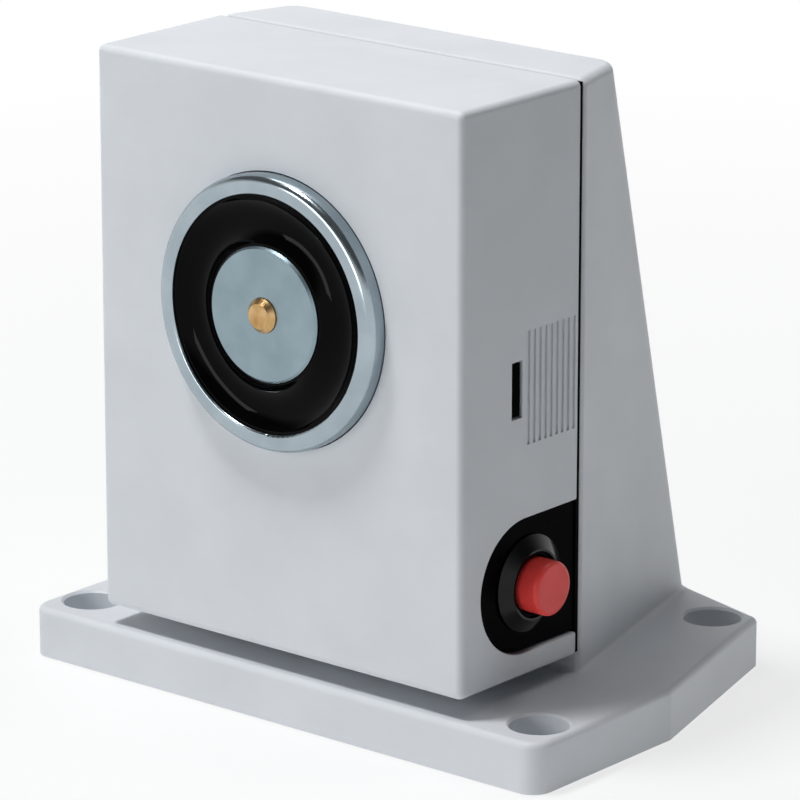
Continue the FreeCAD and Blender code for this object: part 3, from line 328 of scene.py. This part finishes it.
def makeWorld():
    world = bpy.data.worlds.new("studioWorld")
    bpy.context.scene.world = world
    world.use_nodes = True
    tree = world.node_tree
    tree.nodes.clear()
    where = addNode(tree, "ShaderNodeTexCoord").outputs["Generated"]
    up = addNode(tree, "ShaderNodeSeparateXYZ", None, {"Vector": where}).outputs["Z"]
    # white to just above the horizon, dim overhead
    low, high = studio["backdrop"]
    fade = {"From Min": low, "From Max": high, "To Min": 1.0, "To Max": studio["ceiling"]}
    backdrop = addNode(tree, "ShaderNodeMapRange", fade, {"Value": up})
    level = addNode(tree, "ShaderNodeMix", {2: studio["ambient"]},
                    {0: whiteToTheEye(tree), 3: backdrop.outputs[0]})
    sky = addNode(tree, "ShaderNodeBackground", {"Color": (1, 1, 1, 1)}, {"Strength": level.outputs[0]})
    addNode(tree, "ShaderNodeOutputWorld", None, {"Surface": sky.outputs[0]})


def makeFloor():
    mesh = bpy.data.meshes.new("floor")
    reach, count = studio["floorRadius"], studio["floorCorners"]
    angles = [2 * math.pi * i / count for i in range(count)]
    corners = [(reach * math.cos(a), reach * math.sin(a), -studio["floorDrop"]) for a in angles]
    mesh.from_pydata(corners, [], [list(range(count))])
    floor = bpy.data.objects.new("floor", mesh)
    bpy.context.scene.collection.objects.link(floor)
    material = bpy.data.materials.new("paleFloor")
    material.use_nodes = True
    tree = material.node_tree
    shader = tree.nodes["Principled BSDF"]
    shader.inputs["Base Color"].default_value = hexToLinear(studio["floorColour"])
    shader.inputs["Roughness"].default_value = studio["floorRoughness"]
    shader.inputs["Specular IOR Level"].default_value = studio["floorSheen"]
    # plain white far out, more of the real light and shadow near the object
    where = addNode(tree, "ShaderNodeTexCoord").outputs["Object"]
    away = addNode(tree, "ShaderNodeVectorMath", {"operation": "LENGTH"}, {0: where}).outputs["Value"]
    nearReach, farReach = studio["shadowReach"]
    nearLift, farLift = studio["floorLift"]
    rise = {"From Min": nearReach, "From Max": farReach, "To Min": nearLift, "To Max": farLift}
    lift = addNode(tree, "ShaderNodeMapRange", rise, {"Value": away})
    share = addNode(tree, "ShaderNodeMath", {"operation": "MULTIPLY"},
                    {0: whiteToTheEye(tree), 1: lift.outputs[0]})
    # painted fill light: this patch of floor near the object's right front glows, and its glow lights the
    # object from below
    beside = addNode(tree, "ShaderNodeVectorMath", {"operation": "DISTANCE", 1: studio["paintedGlowCentre"]},
                     {0: where}).outputs["Value"]
    nearGlow, farGlow = studio["paintedGlowReach"]
    fall = {"From Min": nearGlow, "From Max": farGlow, "To Min": studio["paintedFillGlow"], "To Max": 0.0}
    paintedFillPatch = addNode(tree, "ShaderNodeMapRange", fall, {"Value": beside})
    seen = addNode(tree, "ShaderNodeMath", {"operation": "MAXIMUM"},
                   {0: share.outputs[0], 1: paintedFillPatch.outputs[0]})
    glow = addNode(tree, "ShaderNodeEmission", {"Strength": 1.0})
    mix = addNode(tree, "ShaderNodeMixShader", None,
                  {0: seen.outputs[0], 1: shader.outputs[0], 2: glow.outputs[0]})
    tree.links.new(mix.outputs[0], tree.nodes["Material Output"].inputs["Surface"])
    mesh.materials.append(material)


def addSoftbox(name, lamp):
    light = bpy.data.lights.new(name, "AREA")
    light.shape = "RECTANGLE"
    light.size, light.size_y = lamp["size"]
    light.energy = lamp["power"]
    box = bpy.data.objects.new(name, light)
    bpy.context.scene.collection.objects.link(box)
    box.location = lamp["at"]
    # it faces the object, its long side lying along the given direction
    back = (Vector(lamp["at"]) - Vector(studio["aim"])).normalized()
    side = Vector(lamp["along"])
    side = (side - back * side.dot(back)).normalized()
    box.rotation_euler = Matrix((side, back.cross(side), back)).transposed().to_euler()


makeWorld()
makeFloor()
for lampName, lamp in lamps.items():
    addSoftbox(lampName, lamp)
print("studio lit,", len(lamps), "lamps")

# the photograph's view: a long lens from the front right, a little above
view = {"at": (0.5999, -0.7178, 0.3272), "turn": (73.66, 0.0, 39.87), "lens": 239.7, "sensor": 36.0}
camera = bpy.data.objects.new("camera", bpy.data.cameras.new("camera"))
bpy.context.scene.collection.objects.link(camera)
camera.location = view["at"]
camera.rotation_euler = [math.radians(a) for a in view["turn"]]
camera.data.lens = view["lens"]
camera.data.sensor_width = view["sensor"]
bpy.context.scene.camera = camera
bpy.context.scene.view_settings.view_transform = "Standard"
print("camera set")
